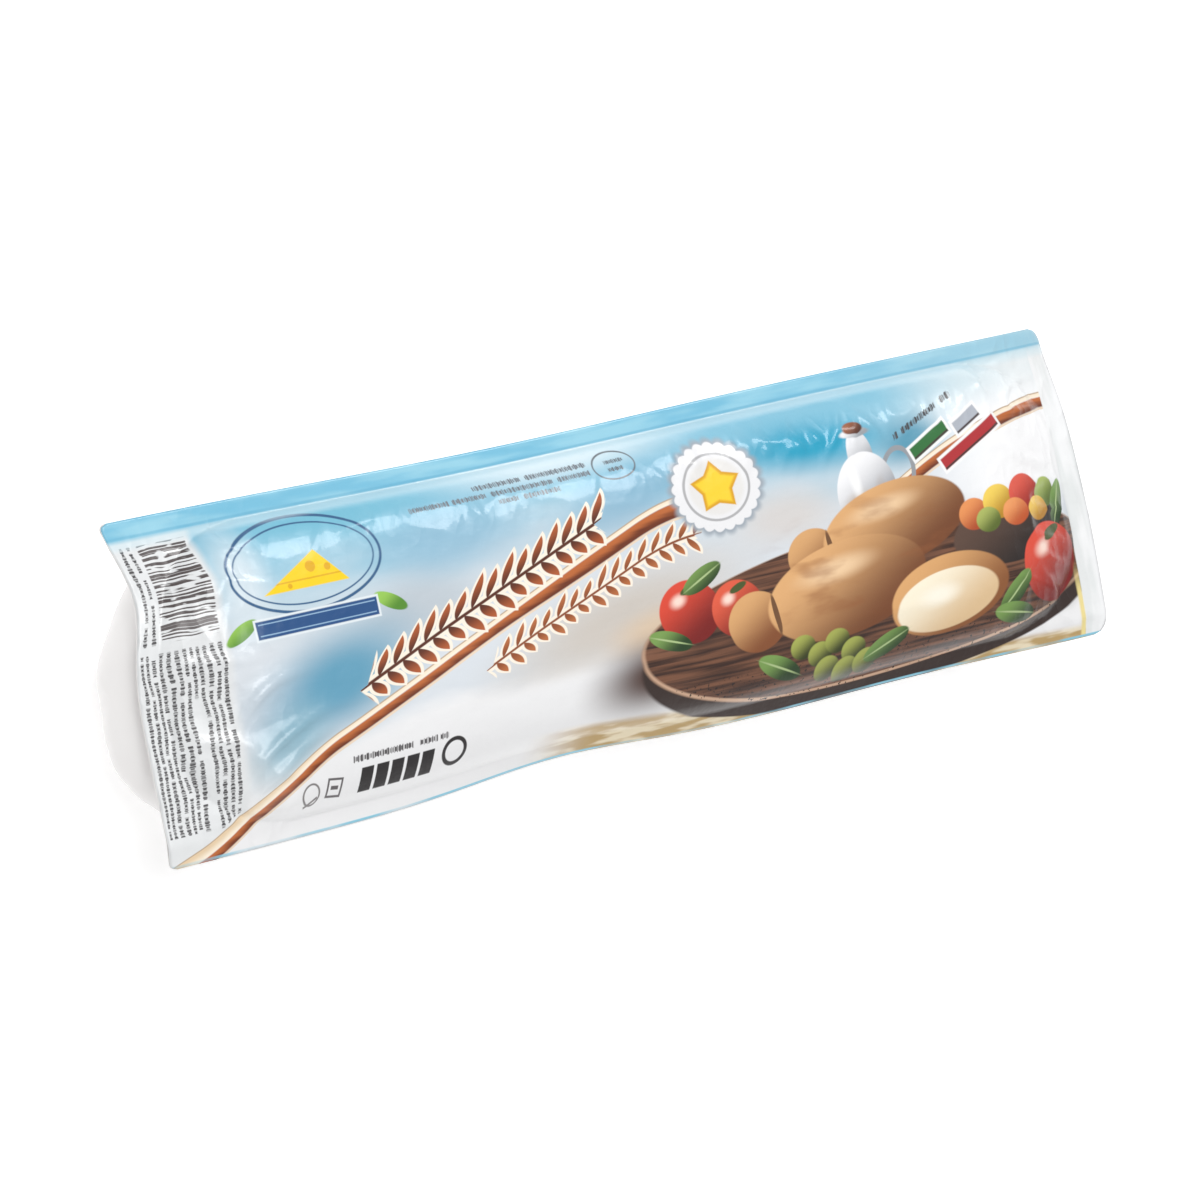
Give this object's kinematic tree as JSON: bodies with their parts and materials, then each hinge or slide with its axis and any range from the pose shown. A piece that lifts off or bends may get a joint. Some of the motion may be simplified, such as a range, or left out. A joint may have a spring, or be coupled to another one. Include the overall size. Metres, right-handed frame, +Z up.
{
  "type": "vacuum-packed smoked cheese log",
  "caption": "Long soft-cornered cheese log vacuum-sealed between a white formed tray and a glossy printed top film, lying film side up.",
  "frame": {"origin": "centre of the bounding box's bottom face, where the tray's flat base rests", "axes": "+X along the pack towards the end with the food picture, +Y across it towards the edge with the blue strip, +Z up through the printed film"},
  "size_m": [0.3217, 0.0919, 0.0493],
  "materials": {
    "tray": "opaque white formed film drawn tight over the log, satin, smooth",
    "film": "glossy printed film: blue sky field, white lower field, brown diagonal band, food picture at the right, unprinted white strip at the right end"
  },
  "bodies": {
    "root": {"filled_tray": "tray", "printed_film": "film"}
  },
  "joints": []
}
